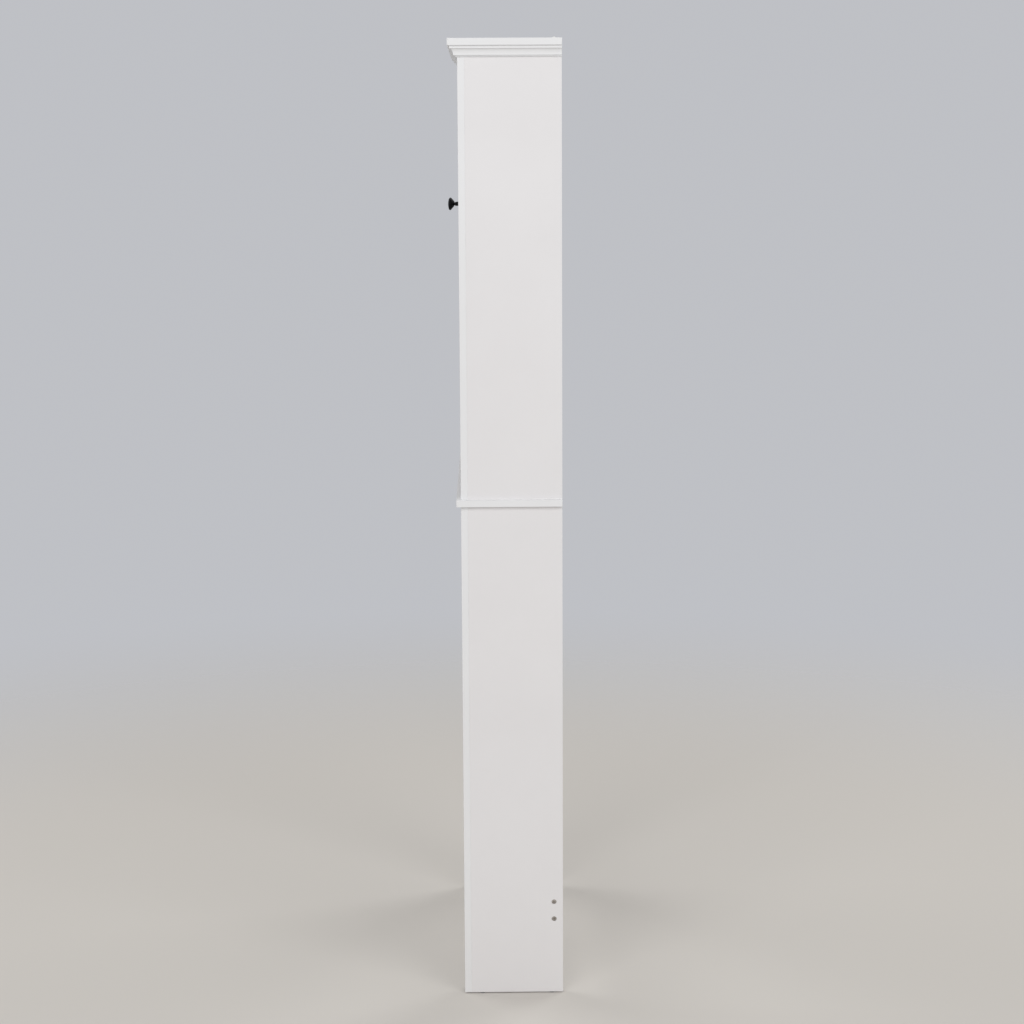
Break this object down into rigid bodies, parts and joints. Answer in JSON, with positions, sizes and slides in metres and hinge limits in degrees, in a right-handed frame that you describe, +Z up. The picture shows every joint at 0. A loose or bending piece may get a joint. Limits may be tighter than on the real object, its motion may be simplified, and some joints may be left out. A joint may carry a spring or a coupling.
{
  "type": "over-the-toilet storage cabinet",
  "caption": "Tall narrow cabinet on two leg sides that straddle a toilet, with an open shelf bay and a door cupboard under a moulded crown.",
  "frame": {"origin": "centre of the bounding box on the floor: mid width, mid depth from knob fronts to back panel", "axes": "+Z up, -Y is the front with the doors, +X is the right-hand side for someone who faces the doors"},
  "size_m": [0.634, 0.2, 1.7028],
  "materials": {
    "white_paint": "satin white paint on board",
    "hardboard": "white foil on hardboard",
    "beech": "bare beech",
    "black_enamel": "satin black",
    "zinc_steel": "zinc plate",
    "magnet": "bare ferrite",
    "white_plastic": "moulded white",
    "glide_plastic": "moulded dark grey"
  },
  "bodies": {
    "cabinet": {"left_leg_panel": "white_paint", "right_leg_panel": "white_paint", "left_leg_stile": "white_paint", "right_leg_stile": "white_paint", "front_apron": "white_paint", "rear_stretcher": "white_paint", "stretcher_bolts": "zinc_steel", "barrel_nuts": "zinc_steel", "foot_glides": "glide_plastic", "waist_board": "white_paint", "left_side_panel": "white_paint", "right_side_panel": "white_paint", "left_stile": "white_paint", "right_stile": "white_paint", "top_rail": "white_paint", "mid_rail": "white_paint", "fixed_shelf": "white_paint", "top_panel": "white_paint", "back_panel": "hardboard", "hanging_rail": "white_paint", "crown_cap": "white_paint", "crown_front": "white_paint", "crown_left": "white_paint", "crown_right": "white_paint", "crown_back_strip": "white_paint", "crown_cleats": "beech", "crown_screws": "zinc_steel", "cap_screws": "zinc_steel", "screw_covers": "white_plastic", "adjustable_shelf": "white_paint", "shelf_pins": "zinc_steel", "cam_locks": "zinc_steel", "cam_bolts": "zinc_steel", "joining_bolts": "zinc_steel", "frame_dowels": "beech", "stop_block": "white_paint", "catch_case": "white_plastic", "catch_magnets": "magnet", "catch_screws": "zinc_steel", "back_nails": "zinc_steel", "pivot_bushes": "white_plastic"},
    "left_door": {"left_hinge_stile": "white_paint", "left_lock_stile": "white_paint", "left_door_top_rail": "white_paint", "left_door_bottom_rail": "white_paint", "left_door_panel": "white_paint", "left_pivot_pins": "zinc_steel", "left_knob": "black_enamel", "left_knob_screw": "zinc_steel", "left_strike_plate": "zinc_steel"},
    "right_door": {"right_hinge_stile": "white_paint", "right_lock_stile": "white_paint", "right_door_top_rail": "white_paint", "right_door_bottom_rail": "white_paint", "right_door_panel": "white_paint", "right_pivot_pins": "zinc_steel", "right_knob": "black_enamel", "right_knob_screw": "zinc_steel", "right_strike_plate": "zinc_steel"}
  },
  "joints": [
    {"name": "left_door_hinge", "type": "hinge", "parent": "cabinet", "child": "left_door", "pos_m": [-0.258, -0.072, 1.4155], "axis": [0, 0, -1], "range_deg": [0, 110]},
    {"name": "right_door_hinge", "type": "hinge", "parent": "cabinet", "child": "right_door", "pos_m": [0.258, -0.072, 1.4155], "axis": [0, 0, 1], "range_deg": [0, 110]}
  ]
}
